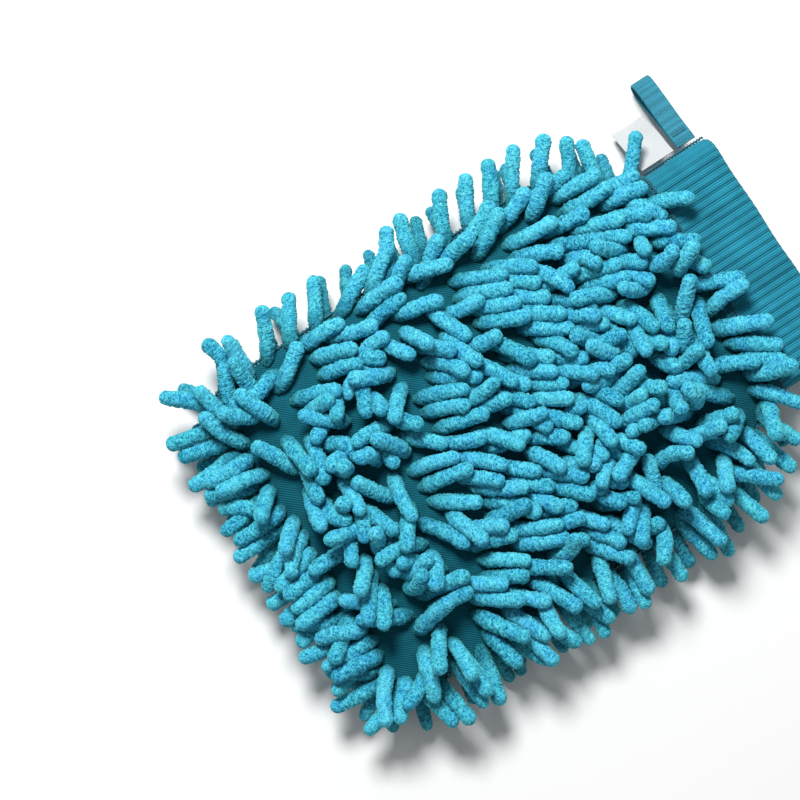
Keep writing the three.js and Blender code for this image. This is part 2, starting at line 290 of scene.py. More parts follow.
class Finish:
    """One procedural material, with short calls for the nodes it is built from."""

    def __init__(self, name, slot=None):
        self.slot = slot or name
        self.material = bpy.data.materials.new(name)
        self.material.use_nodes = True
        self.tree = self.material.node_tree
        self.place = self.add("TexCoord", {}).outputs["Object"]

    def feed(self, node, inputs):
        """Gives a node's inputs numbers, colours or other nodes' outputs."""
        for key, value in inputs.items():
            if isinstance(value, tuple):
                node.inputs[key].default_value = (*value, 1)
            elif isinstance(value, (int, float)):
                node.inputs[key].default_value = value
            elif value is not None:
                self.tree.links.new(value, node.inputs[key])

    def add(self, kind, inputs, **settings):
        node = self.tree.nodes.new(f"ShaderNode{kind}")
        for key, value in settings.items():
            setattr(node, key, value)
        self.feed(node, inputs)
        return node

    def noise(self, size, detail=3.0, roughness=0.6):
        """Noise whose lumps are about size millimetres."""
        inputs = {"Scale": 1 / (size * MM), "Detail": detail, "Roughness": roughness}
        return self.add("TexNoise", {"Vector": self.place, **inputs}).outputs["Fac"]

    def ribs(self, pitch, axis, wobble=0.4, turn=0.0):
        """Soft ridges every pitch millimetres across one axis."""
        mapping = self.add("Mapping", {"Vector": self.place})
        mapping.inputs["Rotation"].default_value = (0, 0, turn)
        inputs = {"Scale": math.pi / 10 / (pitch * MM), "Distortion": wobble, "Detail": 2}
        inputs |= {"Detail Scale": 1.5, "Vector": mapping.outputs["Vector"]}
        return self.add("TexWave", inputs, bands_direction=axis).outputs["Fac"]

    def attribute(self, name):
        return self.add("Attribute", {}, attribute_name=name).outputs["Fac"]

    def math(self, operation, a, b):
        return self.add("Math", {0: a, 1: b}, operation=operation).outputs["Value"]

    def ramp(self, factor, *stops):
        """Stops as (place, colour), where a plain number is a grey."""
        node = self.add("ValToRGB", {"Fac": factor})
        elements = node.color_ramp.elements
        while len(elements) < len(stops):
            elements.new(0.5)
        for element, (place, colour) in zip(elements, stops):
            element.position = place
            element.color = (*colour, 1) if isinstance(colour, tuple) else (colour, colour, colour, 1)
        return node.outputs["Color"]

    def mix(self, factor, a, b, blend="MULTIPLY"):
        inputs = {"Factor": factor, MIX_COLOURS[0]: a, MIX_COLOURS[1]: b}
        return self.add("Mix", inputs, data_type="RGBA", blend_type=blend).outputs[MIX_RESULT]

    def worn(self, colour, size, low, high):
        """The colour times low to high, in patches of about size millimetres."""
        patches = self.ramp(self.noise(size), (0.3, low), (0.7, high))
        return self.mix(1.0, colour, patches)

    def bump(self, height, depth, under=None):
        """Raises the surface by up to depth millimetres where height is 1."""
        inputs = {"Strength": 1, "Distance": depth * MM, "Height": height, "Normal": under}
        return self.add("Bump", inputs).outputs["Normal"]

    def done(self, colour, rough, normal=None, sheen=0.0, tint=(1, 1, 1), specular=0.3):
        inputs = {"Base Color": colour, "Roughness": rough, "Normal": normal, "Sheen Weight": sheen}
        constants = {"Sheen Roughness": 0.45, "Sheen Tint": tint, "Specular IOR Level": specular}
        self.feed(self.tree.nodes["Principled BSDF"], {**inputs, **constants})
        return self.material, self.slot


def chenille_finish(name, shade):
    """Microfibre: painted highlights on the raised grains and painted shade between them, random patches of
    azure and teal, and painted shade low at the roots.
    """
    f = Finish(name, "chenille")
    speckle = f.math("MULTIPLY", f.math("SUBTRACT", f.noise(0.8, 1), 0.5), 1.5)
    tone_and_hollow_shade = f.math("ADD", f.attribute("tone_and_hollow_shade"), speckle)
    # These three colours paint light and shade on the grains: lit on the raised ones, darkest in the
    # grooves between them.
    lit = tuple(c * shade for c in (0.130, 0.640, 0.800))
    middle = tuple(c * shade for c in (0.045, 0.385, 0.540))
    hollow_shade = tuple(c * shade for c in (0.006, 0.130, 0.230))
    base = f.ramp(tone_and_hollow_shade, (0.10, hollow_shade), (0.45, middle), (0.88, lit))
    patch = f.ramp(f.noise(7, 2), (0.42, 0), (0.68, 1))
    azure = f.mix(f.math("MULTIPLY", patch, 0.45), base, (0.40, 0.66, 1.0))
    teal = f.math("MULTIPLY", f.attribute("hue"), 0.30)
    tinted = f.mix(teal, azure, (0.80, 1.0, 0.78))
    # Painted shade: the colour darkened where a finger is buried among its neighbours' roots, blended in by
    # the open attribute.
    root_shade = f.mix(1.0, tinted, (0.07, 0.25, 0.27))
    colour = f.mix(f.attribute("open"), root_shade, tinted, "MIX")
    fuzz = f.noise(0.55, 3, 0.7)
    rough = f.ramp(fuzz, (0.2, 0.80), (0.8, 1.0))
    normal = f.bump(fuzz, 0.34, f.bump(f.noise(1.2, 2), 0.3))
    return f.done(colour, rough, normal, sheen=0.3, tint=(0.20, 1.0, 0.80), specular=0.10)


def knit_finish(name, lit, shadow, pitch, depth, turn=0.0):
    """Fine ribbed knit: wales every pitch millimetres along Y or turned, courses across them."""
    f = Finish(name)
    wales = f.ribs(pitch, "X", 0.4, turn)
    courses = f.ribs(pitch * 0.8, "Y", 1.2, turn)
    height = f.math("MULTIPLY", f.math("ADD", wales, f.math("MULTIPLY", courses, 0.5)), 0.66)
    base = f.ramp(height, (0.15, shadow), (0.8, lit))
    patches = f.ramp(f.noise(18), (0.35, 0.82), (0.7, 1.1))
    colour = f.mix(1.0, base, patches)
    rough = f.ramp(f.noise(0.8), (0.3, 0.8), (0.7, 0.97))
    normal = f.bump(f.noise(0.5), 0.08, f.bump(height, depth))
    return f.done(colour, rough, normal, sheen=0.15, tint=(0.3, 1.0, 0.95), specular=0.12)


def weave_finish(name, lit, shadow, pitch, depth, rough):
    """Plain weave: threads along all three axes, so that it shows on every face."""
    f = Finish(name)
    warp = f.ribs(pitch, "X", 0.3)
    weft = f.ribs(pitch, "Y", 0.3)
    upright = f.ribs(pitch * 1.1, "Z", 0.3)
    height = f.math("MULTIPLY", f.math("ADD", warp, f.math("ADD", weft, upright)), 0.33)
    base = f.ramp(height, (0.2, shadow), (0.75, lit))
    roughness = f.ramp(f.noise(1.0), (0.3, rough * 0.85), (0.7, rough * 1.15))
    colour = f.worn(base, 12, 0.86, 1.06)
    return f.done(colour, roughness, f.bump(height, depth), sheen=0.1, tint=(0.9, 1.0, 1.0))


def foam_finish():
    """Open cells, with painted shade inside them."""
    f = Finish("foam")
    cells = f.add("TexVoronoi", {"Vector": f.place, "Scale": 1 / (0.9 * MM)}).outputs["Distance"]
    base = f.ramp(cells, (0.1, (0.45, 0.41, 0.30)), (0.6, (0.78, 0.74, 0.62)))
    return f.done(f.worn(base, 25, 0.88, 1.05), 0.95, f.bump(cells, 0.35), specular=0.2)


def satin_finish():
    """Pale grey satin tape with fine floats and painted shade in the grooves between them."""
    f = Finish("label_satin")
    floats = f.ribs(0.35, "Y", 0.2)
    base = f.ramp(floats, (0.1, (0.40, 0.42, 0.43)), (0.8, (0.60, 0.62, 0.63)))
    rough = f.ramp(f.noise(2.5), (0.3, 0.32), (0.7, 0.45))
    colour = f.worn(base, 9, 0.93, 1.03)
    return f.done(colour, rough, f.bump(floats, 0.05), sheen=0.3, specular=0.5)


CHENILLE = chenille_finish("chenille", 1.0)
# A copy of the chenille at 0.72 of its brightness: painted shade for the back pile lying under the mitt.
CHENILLE_BACK_SHADED = chenille_finish("chenille_back", 0.72)
KNIT_TURN = math.radians(41)  # of the backing's wales, from the mitt's length
BACKING = knit_finish("backing_knit", (0.006, 0.14, 0.19), (0.002, 0.06, 0.09), 1.05, 0.3, KNIT_TURN)
LINING = knit_finish("lining_cloth", (0.42, 0.50, 0.53), (0.28, 0.35, 0.38), 1.1, 0.12)
RIB = knit_finish("rib_knit", (0.024, 0.27, 0.38), (0.009, 0.14, 0.21), 1.1, 0.3)
THREAD = weave_finish("thread", (0.012, 0.17, 0.23), (0.004, 0.08, 0.12), 0.5, 0.1, 0.55)
ELASTIC = weave_finish("elastic", (0.84, 0.84, 0.80), (0.60, 0.60, 0.57), 0.8, 0.2, 0.6)
WEBBING = weave_finish("webbing", (0.020, 0.24, 0.34), (0.007, 0.12, 0.18), 0.9, 0.2, 0.65)
FOAM = foam_finish()
SATIN = satin_finish()


def add_piece(name, shape, finish, *nodes, body="mitt"):
    """A piece of its shape and finish, its body, and the CAD node that it stands for."""
    piece = new_object(name, *shape)
    material, slot = finish
    piece.data.materials.append(material)
    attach(piece, body)
    if nodes:
        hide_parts(*nodes)
    return piece


# ---- chenille fingers: where each is sewn down and how it leans ----

FINGER_RADIUS = 3.6
FINGER_LENGTH = (24.5, 30.0)
BACK_RADIUS = 3.1
BACK_LENGTH = (20.0, 24.0)
ROW_PITCH = 8.3  # between fingers in a row
ROW_EXTRA = 10.0  # a front row's fingers take up this much more than its CAD row
BACK_EXTRA = -4.0
SIDE_PITCH = 14.0  # between fingers along a side edge
END_PITCH = 8.4
NODES = 9  # points on each centre-line while the pile settles
SHARES = np.linspace(0, 1, NODES)  # of the way along it
ROOT_SINK = 0.3  # of a centre-line's first point into the fabric
RADIUS_SPREAD = 0.03

# Distances from the closed end. The combed zone runs slantwise across the mitt.
FANNED_END = 12.0
RUFFLED_END = 54.0
RUFFLED_SLANT = 0.65  # later by this much for each millimetre to the left
RUFFLED_FROM = 18.0  # of this x
COMBED_END = 146.0
COMBED_SLANT = 1.3
COMBED_FROM = 9.0
CORNER_ZONE = (34, 60)  # where the left edge's fingers turn to lie along it

# Distances from the middle, where the fingers start to lie as the edge's do and where all do.
LEFT_ZONE = (HALF_WIDTH - 36, HALF_WIDTH - 12)
RIGHT_ZONE = (HALF_WIDTH - 26, HALF_WIDTH - 8)

# Which way the fingers point, from +X towards +Y.
COMBED = VIEW_TURN  # to the picture's right
SIDE_EDGE = VIEW_TURN + math.pi / 2  # to the picture's top
ALONG_EDGE = math.radians(93)
RIGHT_EDGE = math.radians(-15)
FANNED = math.radians(-97)
RUFFLED = math.radians(-20)
MESSY = math.radians(-5)
LEFT_OUTWARD = {1: SIDE_EDGE, -1: math.radians(168)}  # by side, of the edges' own fingers
RIGHT_OUTWARD = {1: math.radians(3), -1: math.radians(-8)}
END_OUTWARD = math.radians(-92)
PAIR_SPLAY = math.radians(28)  # a pair's two rows each lean this far from the middle

# By side, an edge's first place along the outline and its fingers' radius, lengths and leans.
EDGES = {
    1: (3.0, FINGER_RADIUS, (25.0, 29.0), (-10, 24)),
    -1: (8.0, BACK_RADIUS * 1.08, (21.0, 25.0), (-5, 25)),
}

STRAYS = 0.07  # share of the fingers that lie their own way
STRAY_SPREAD = 80
STRAY_RISE = 24


class Pile:
    """The fingers of both faces, in rows that become arrays once all are sewn on.

    A finger is side, x, y, heading, lean, bend, hook, edge, length and radius: edge is 1
    where it is one of the mitt's edge fingers, and the four before it are angles.
    """

    def __init__(self):
        self.names = []
        self.rows = []

    def sew(self, name, *finger):
        if name not in self.names:
            self.names.append(name)
        self.rows.append((self.names.index(name), *finger))

    def freeze(self):
        owner, self.side, x, y, self.heading, self.lean, *rest = np.array(self.rows, float).T
        self.bend, self.hook, self.edge, self.length, self.radius = rest
        self.owner = owner.astype(int)
        self.root = xyz(x, y, skin(self.side, x, y) - ROOT_SINK * self.side)
        self.step = self.length / (NODES - 1)


pile = Pile()


def nearest_turn(a, b, share):
    """The heading a share of the way from a to b by the shorter turn."""
    return a + share * ((b - a + math.pi) % (2 * math.pi) - math.pi)


def front_lie(x, y, second):
    """Heading, spread of headings, lowest and highest lean, of the front pile at a place."""
    from_tip = y - TIP_Y
    splay = PAIR_SPLAY if second else -PAIR_SPLAY
    left = smoothstep(-x, *LEFT_ZONE)
    right = smoothstep(x, *RIGHT_ZONE)
    corner = 1 - smoothstep(from_tip, *CORNER_ZONE)
    if from_tip < FANNED_END:
        heading, spread, low, high = FANNED, 22, 2, 30
    elif from_tip < RUFFLED_END + RUFFLED_SLANT * max(RUFFLED_FROM - x, 0):
        heading, spread, low, high = RUFFLED + splay, 72, 12, 60
    elif from_tip < COMBED_END + COMBED_SLANT * max(COMBED_FROM - x, 0):
        heading, spread, low, high = COMBED, 15, 8, 26
    else:
        heading, spread, low, high = MESSY + splay, 68, 12, 58
    heading = nearest_turn(heading, lerp(ALONG_EDGE, SIDE_EDGE, corner), left * 0.85)
    heading = nearest_turn(heading, RIGHT_EDGE, right * 0.7)
    spread = lerp(spread, 20, max(left, right))
    return heading, spread, lerp(low, 8, left), lerp(high, 30, left)


def row_names(word):
    return sorted(n for n in frame["nodes"] if n.startswith(f"{word}_chenille_row"))


def row_middle(name):
    low, high = box_mm(name)
    return (low[1] + high[1]) / 2


def row_roots(word, extra, wander):
    """Each row's number and name, and where its fingers root: wander is (along, across) it."""
    for index, name in enumerate(row_names(word)):
        low, high = box_mm(name)
        count = int((high[0] - low[0] + extra) / ROW_PITCH)
        start = -(count - 1) / 2 + 0.25 * (-1) ** index
        for k in range(count):
            x = (start + k) * ROW_PITCH + rng.normal(0, wander[0])
            yield index, name, x, row_middle(name) + rng.normal(0, wander[1])


def random_angle(spread):
    return math.radians(rng.normal(0, spread))


def angle_between(lowest, highest):
    return math.radians(rng.uniform(lowest, highest))


def sew_front_rows():
    for index, name, x, y in row_roots("front", ROW_EXTRA, (0.9, 1.5)):
        heading, spread, lowest, highest = front_lie(x, y, index % 2 == 0)
        if rng.random() < STRAYS:
            spread, highest = STRAY_SPREAD, highest + STRAY_RISE
        heading += random_angle(spread)
        lean = angle_between(lowest, highest)
        bend = random_angle(42 if spread > 20 else 24)
        hook = angle_between(-50, 10)
        length = rng.uniform(*FINGER_LENGTH)
        radius = FINGER_RADIUS * rng.normal(1, RADIUS_SPREAD)
        pile.sew(name, 1, x, y, heading, lean, bend, hook, 0, length, radius)


def sew_back_rows():
    for _, name, x, y in row_roots("back", BACK_EXTRA, (0.7, 0.8)):
        outward = math.atan2(y - 10, 1.4 * x + 0.01)
        heading = outward + random_angle(45)
        lean = angle_between(2, 14)
        bend = random_angle(30)
        length = rng.uniform(*BACK_LENGTH)
        radius = BACK_RADIUS * rng.normal(1, RADIUS_SPREAD)
        pile.sew(name, -1, x, y, heading, lean, bend, 0, 0, length, radius)


def outline_points(grow):
    """Points about a millimetre apart down the left side, round the closed end and up the right."""
    straight = np.arange(JOIN_Y - 2, CORNER_Y, -1.0)
    left = np.stack([-half_width(straight, grow), straight], -1)
    radius = CORNER_RADIUS + grow
    turn = np.linspace(math.pi, 1.5 * math.pi, int(radius * 1.6))
    corner = np.stack([-CORNER_X + radius * np.cos(turn), CORNER_Y + radius * np.sin(turn)], -1)
    end_x = np.arange(1 - CORNER_X, 0, 1.0)
    end = np.stack([end_x, np.full_like(end_x, TIP_Y - grow)], -1)
    half = np.concatenate([left, corner, end])
    return np.concatenate([half, half[::-1] * [-1, 1]])


def distances(path):
    """How far along a path each of its points lies."""
    return np.concatenate([[0], np.cumsum(np.linalg.norm(np.diff(path, axis=0), axis=1))])


def edge_heading(x, y, side):
    """Which way the edge fingers point: combed back along the left side, fanned at the end."""
    if y > CORNER_Y + 6:
        return (LEFT_OUTWARD if x < 0 else RIGHT_OUTWARD)[side]
    if abs(x) < CORNER_X:
        return END_OUTWARD
    fan = math.atan2(y - CORNER_Y, x - math.copysign(CORNER_X, x))
    if x < 0 and y > CORNER_Y - 12:
        fan = nearest_turn(fan, SIDE_EDGE, 0.35 * smoothstep(y, CORNER_Y - 12, CORNER_Y + 6))
    return fan


def sew_edge(word, side):
    points = outline_points(-2.0)
    along = distances(points)
    place, girth, lengths, leans = EDGES[side]
    while place < along[-1] - 3:
        x = np.interp(place, along, points[:, 0])
        y = np.interp(place, along, points[:, 1])
        at_end = y < CORNER_Y + 2
        where = "end" if at_end else ("left" if x < 0 else "right")
        heading = edge_heading(x, y, side) + random_angle(20 if at_end else 10)
        lean = angle_between(*leans)
        bend = random_angle(20)
        length = rng.uniform(*lengths)
        radius = girth * rng.normal(1, RADIUS_SPREAD)
        name = f"{word}_{where}_edge_fingers"
        pile.sew(name, side, x, y, heading, lean, bend, 0, 1, length, radius)
        place += (END_PITCH if at_end else SIDE_PITCH) * rng.uniform(0.8, 1.2)


sew_front_rows()
sew_edge("front", 1)
sew_back_rows()
sew_edge("back", -1)
pile.freeze()

# ---- settling the pile: fingers bend over, push each other aside and rest in layers ----

COMB_STEPS = 70  # while the goal goes from upright to leaning
REST_STEPS = 80  # while it stays and its springs are weaker
SMOOTH_STEPS = 6
STRAIGHTEN = 0.16  # share of a kink taken out each time, and in the last steps
SMOOTH = 0.3
SPRING = 0.16  # at the root, falling to SPRING * (1 - SPRING_FADE) at the tip
SPRING_FADE = 0.75
REST_SPRING = 0.3
FALL = 0.04  # millimetres each step
PAIR_EVERY = 6  # steps
PAIR_MARGIN = 2.5
CEILING = 23.0  # centre-lines stay this close above the front fabric
TOP_LIMIT = cad_high.z / MM + 6.5  # and below this height
PRESS = 0.85  # share of a finger's radius that its centre-line stays off the fabric
FLOOR_PRESS = 0.97  # and off the floor
BLOCK = 400
UPRIGHT = math.radians(78)
EDGE_UPRIGHT = 0.35  # edge fingers start nearly level


def goal_shape(share):
    """Centre-lines that the fingers spring towards, share of the way over from upright."""
    along = (np.arange(NODES - 1) + 0.5) / (NODES - 1)
    upright = np.where(pile.edge > 0, EDGE_UPRIGHT, UPRIGHT)
    lean = lerp(upright, pile.lean, share)
    falling = smoothstep(along, 0.0, 0.34)
    hook = pile.hook[:, None] * smoothstep(along, 0.5, 1.0)
    rise = lerp(upright[:, None], lean[:, None], falling) + hook
    turn = pile.heading[:, None] + pile.bend[:, None] * (along - 0.3)
    flat = np.cos(rise)
    upward = pile.side[:, None] * np.sin(rise)
    steps = xyz(flat * np.cos(turn), flat * np.sin(turn), upward) * pile.step[:, None, None]
    zero = np.zeros((len(steps), 1, 3))
    return pile.root[:, None] + np.concatenate([zero, np.cumsum(steps, 1)], 1)


def close_pairs(points, finger):
    """Pairs of centre-line points of different fingers that are near enough to touch soon."""
    order = np.argsort(points[:, 1], kind="stable")
    placed = points[order]
    reach = 2 * FINGER_RADIUS + PAIR_MARGIN
    found = []
    for start in range(0, len(placed), BLOCK):
        block = placed[start : start + BLOCK]
        stop = np.searchsorted(placed[:, 1], block[-1, 1] + reach)
        others = placed[start:stop]
        apart = ((block[:, None] - others[None]) ** 2).sum(-1)
        i, j = np.nonzero(apart < reach * reach)
        found.append(np.stack([order[start + i], order[start + j]]))
    i, j = np.concatenate(found, 1)
    differ = finger[i] != finger[j]
    i, j = i[differ], j[differ]
    both = np.unique(np.minimum(i, j) * len(points) + np.maximum(i, j))
    return both // len(points), both % len(points)


def push_apart(points, pairs, radius, free):
    """Moves touching points of different fingers away from each other."""
    first, second = pairs
    between = points[second] - points[first]
    apart = np.linalg.norm(between, axis=1)
    overlap = np.maximum(radius[first] + radius[second] - apart, 0)
    touching = overlap > 0
    first, second, between = first[touching], second[touching], between[touching]
    share = free[first] + free[second] + 1e-6
    move = between / np.maximum(apart[touching], 0.05)[:, None] * (overlap[touching] / share)[:, None]
    total = np.zeros_like(points)
    count = np.bincount(first, minlength=len(points)) + np.bincount(second, minlength=len(points))
    for axis in range(3):
        pushed = np.bincount(second, move[:, axis] * free[second], len(points))
        pulled = np.bincount(first, move[:, axis] * free[first], len(points))
        total[:, axis] = pushed - pulled
    return points + total / np.maximum(count, 1)[:, None] ** 0.6


def keep_in_space(shape):
    """Holds centre-lines off the fabric and the floor, and under the pile's height."""
    x, y, z = parts_of(shape)
    side, radius = pile.side[:, None], pile.radius[:, None]
    inside = (np.abs(x) < half_width(y) + 1) & (y > TIP_Y - 1) & (y < JOIN_Y + 8)
    surface = skin_under(side, x, y)
    grown = smoothstep(SHARES, 0.0, 0.25) * radius
    front = (side > 0) & inside
    ceiling = np.minimum(surface + CEILING, TOP_LIMIT)
    z = np.where(front, np.clip(z, surface + grown * PRESS, ceiling), z)
    back = (side < 0) & inside
    z = np.where(back, np.minimum(z, surface - grown * PRESS), z)
    shape[..., 2] = np.maximum(z, radius * FLOOR_PRESS)
    return shape


def keep_lengths(shape):
    for k in range(1, NODES):
        ahead = unit(shape[:, k] - shape[:, k - 1])
        shape[:, k] = shape[:, k - 1] + ahead * pile.step[:, None]
    return shape


def straightened(shape, share):
    """Takes out kinks: each point moves a share of the way to the line of its neighbours."""
    eased = shape.copy()
    eased[:, 1:-1] += share * (0.5 * (shape[:, :-2] + shape[:, 2:]) - shape[:, 1:-1])
    eased[:, -1] += share * (2 * shape[:, -2] - shape[:, -3] - shape[:, -1])
    return eased


def settle():
    """The centre-lines once they have fallen over, pushed each other aside and come to rest."""
    finger = np.repeat(np.arange(len(pile.root)), NODES)
    radius = np.repeat(pile.radius, NODES)
    free = np.tile(np.clip(np.arange(NODES) / 2, 0, 1), len(pile.root))
    spring = SPRING * (1 - SPRING_FADE * SHARES)
    shape = goal_shape(0)
    for step in range(COMB_STEPS + REST_STEPS):
        goal = goal_shape(smoothstep(step / COMB_STEPS, 0, 1))
        pull = spring if step < COMB_STEPS else spring * REST_SPRING
        shape += (goal - shape) * pull[:, None]
        shape[:, 1:, 2] -= FALL
        if step % PAIR_EVERY == 0:
            pairs = close_pairs(shape.reshape(-1, 3), finger)
        for _ in range(2):
            moved = push_apart(shape.reshape(-1, 3), pairs, radius, free)
            shape = keep_in_space(moved.reshape(shape.shape))
            shape = straightened(shape, STRAIGHTEN)
            shape[:, 0] = pile.root
            shape = keep_lengths(shape)
    for _ in range(SMOOTH_STEPS):
        shape = keep_in_space(keep_lengths(straightened(shape, SMOOTH)))
    return shape


centre_lines = settle()

# ---- building the fingers ----

RIDGE_PITCH = 1.08
RIDGE_HEIGHT = 0.13
GRAIN_HEIGHT = 0.21
GRAIN_SIZE = 0.8
GRAIN_LIMIT = 2
LATTICE_LENGTH = 36  # longer than any finger
ROOT_DEPTH = 1.6  # how far a finger's end goes down into the fabric
ROOT_GIRTH = 0.62  # share of its thickness there
TIP_RINGS = 8
FRONT_DETAIL = (74, 22)  # rings and sides
BACK_DETAIL = (48, 14)
PHASES = (0, 6.28)


def along_line(lines, place, below):
    """Catmull-Rom points at places, counted in steps, along centre-lines carried on below the cloth."""
    after = 2 * lines[:, -1:] - lines[:, -2:-1]
    padded = np.concatenate([lines[:, :1] + below * 2, lines[:, :1] + below, lines, after], 1)
    place = place + 1
    k = np.clip(np.floor(place).astype(int), 0, lines.shape[1] - 1)
    t = (place - k)[..., None]
    who = np.arange(len(lines))[:, None]
    a, b, c, d = (padded[who, k + n] for n in range(4))
    return 0.5 * (2 * b + (c - a) * t + (2 * a - 5 * b + 4 * c - d) * t**2 + (3 * b - a - 3 * c + d) * t**3)


def grains(count, place, sides):
    """Seeded bumps about one grain long, blended from ring to ring."""
    lattice = rng.normal(size=(count, int(LATTICE_LENGTH / GRAIN_SIZE), sides))
    at = (place + ROOT_DEPTH) / GRAIN_SIZE
    k = np.floor(at).astype(int)
    blend = smoothstep(at - k, 0, 1)[..., None]
    who = np.arange(count)[:, None]
    values = lerp(lattice[who, k], lattice[who, k + 1], blend)
    return np.clip(values / values.std(), -GRAIN_LIMIT, GRAIN_LIMIT)


def painted_shade_openness(members, points, place, sides):
    """Where painted shade goes: 0, the darkest, low between the roots, up to 1 where a finger stands clear
    of its neighbours.
    """
    x, y, z = parts_of(points)
    side = pile.side[members][:, None]
    height = smoothstep(side * (z - skin_under(side, x, y)), 0.5, 10.5)
    along = np.repeat(smoothstep(place, 0.0, 13.0), sides, axis=1)
    along = np.concatenate([along, along[:, :1], along[:, -1:]], 1)
    past_side = smoothstep(np.abs(x) - half_width(np.clip(y, TIP_Y, JOIN_Y)), -4, 4)
    past_end = smoothstep(TIP_Y - y, -4, 4)
    beyond = np.maximum(np.maximum(past_side, past_end), side < 0)
    return np.clip(lerp(height, along, beyond) * 0.9 + 0.1, 0, 1)


def finger_profile(length, radius, rings):
    """Rings' distances from the cloth, and each one's girth as a share of its finger's radius."""
    count = len(length)
    share = np.linspace(0, 1, rings)
    body = -ROOT_DEPTH + share * (length - radius + ROOT_DEPTH)[:, None]
    tip = np.linspace(0, 0.5 * math.pi, TIP_RINGS + 1)[1:-1]
    cap = (length - radius)[:, None] + radius[:, None] * np.sin(tip)
    place = np.concatenate([body, cap], 1)
    profile = np.concatenate([np.ones_like(body), np.broadcast_to(np.cos(tip), cap.shape)], 1)
    profile = profile * lerp(ROOT_GIRTH, 1.0, smoothstep(place, -1.0, 4.0))
    taper = rng.uniform(-0.03, 0.13, (count, 1)) * (2 * place / length[:, None] - 1)
    profile = profile * (1 - taper)
    lumps = np.sin(place * rng.uniform(0.35, 0.75, (count, 1)) + rng.uniform(*PHASES, (count, 1)))
    return place, profile * (1 + 0.035 * lumps)


def finger_faces(count, rings, sides):
    """Quads and end triangles of fingers whose root and crown points come after their rings."""
    column = np.arange(sides)
    ahead = (column + 1) % sides
    root = np.full(sides, rings * sides)
    last = (rings - 1) * sides
    ends = np.concatenate([xyz(root, ahead, column), xyz(root + 1, last + column, last + ahead)])
    offset = (np.arange(count) * (rings * sides + 2))[:, None, None]
    quads = grid_faces(rings, sides, False, True)
    return [(quads + offset).reshape(-1, 4), (ends + offset).reshape(-1, 3)]


def finger_mesh(members, rings, sides):
    """Points, faces and, for each point, a value with painted shade in the grooves, a hue, and a factor for
    the painted shade at the roots, for some fingers.
    """
    lines, length, radius = centre_lines[members], pile.length[members], pile.radius[members]
    step = pile.step[members]
    count = len(members)
    place, profile = finger_profile(length, radius, rings)
    below = np.outer(-pile.side[members] * step, UP)[:, None]
    centres = along_line(lines, place / step[:, None], below)
    tangents, first, second = carried_frames(centres, rng.normal(size=(count, 3)))
    turn = once_round(sides)
    phase = rng.uniform(*PHASES, (5, count, 1, 1))
    s = place[..., None]
    broken = 1.2 * np.sin(turn + phase[0]) + 0.8 * np.sin(2 * turn + phase[1] + s / 4)
    ridge = np.cos(TURN * s / RIDGE_PITCH + broken + phase[2])
    ridge = ridge * (0.7 + 0.3 * np.sin(3 * turn + phase[3] + s / 1.7))
    grain = grains(count, place, sides)
    raised = RIDGE_HEIGHT * ridge + GRAIN_HEIGHT * grain
    girth = (radius[:, None] * profile)[..., None] + raised * np.sqrt(profile)[..., None]
    turn = turn[:, None]
    around = np.cos(turn) * first[:, :, None] + np.sin(turn) * second[:, :, None]
    points = (centres[:, :, None] + girth[..., None] * around).reshape(count, -1, 3)
    root = centres[:, :1] - tangents[:, :1] * 0.2
    crown = centres[:, -1:] + tangents[:, -1:] * (length - place[:, -1] + 0.05)[:, None, None]
    points = np.concatenate([points, root, crown], 1)
    # Painted light and shade: raised ridges and grains get a lighter value and the grooves between them
    # painted shade, plus a random amount for each finger.
    tone_and_hollow_shade = 0.52 + 0.13 * ridge + 0.14 * grain + rng.normal(0, 0.05, (count, 1, 1))
    tone_and_hollow_shade = np.concatenate([tone_and_hollow_shade.reshape(count, -1), np.full((count, 2), 0.6)], 1)
    greener = 0.5 * pile.edge[members][:, None]
    hue = np.broadcast_to(rng.uniform(0, 1, (count, 1)) + greener, tone_and_hollow_shade.shape)
    # The open attribute sets the painted shade near the roots.
    attributes = {"tone_and_hollow_shade": np.clip(tone_and_hollow_shade, 0, 1), "hue": hue, "open": painted_shade_openness(members, points, place, sides)}
    return points, finger_faces(count, place.shape[1], sides), attributes


def build_pile():
    """One piece for each row's or edge's fingers, listed by face."""
    pieces = {"front": [], "back": []}
    for index, name in enumerate(pile.names):
        face = name.split("_")[0]
        detail, finish = (FRONT_DETAIL, CHENILLE) if face == "front" else (BACK_DETAIL, CHENILLE_BACK_SHADED)
        shape = finger_mesh(np.nonzero(pile.owner == index)[0], *detail)
        pieces[face].append(add_piece(f"chenille_{name}", shape, finish, name))
    return pieces


pile_pieces = build_pile()

# ---- cloth layers of the body ----

ROW_LINES = np.array([row_middle(name) for name in row_names("front")])
FURROW_DEPTH = 0.8
FURROW_WIDTH = 1.8
PUCKER = 0.35
GATHER = 0.7
CREASE = 0.35
CROWDING = 1.35  # radians of a sine that sets a layer's points closer at its sides
FOAM_CLEAR = (0.9, 1.0)  # from the lining and from the fabric


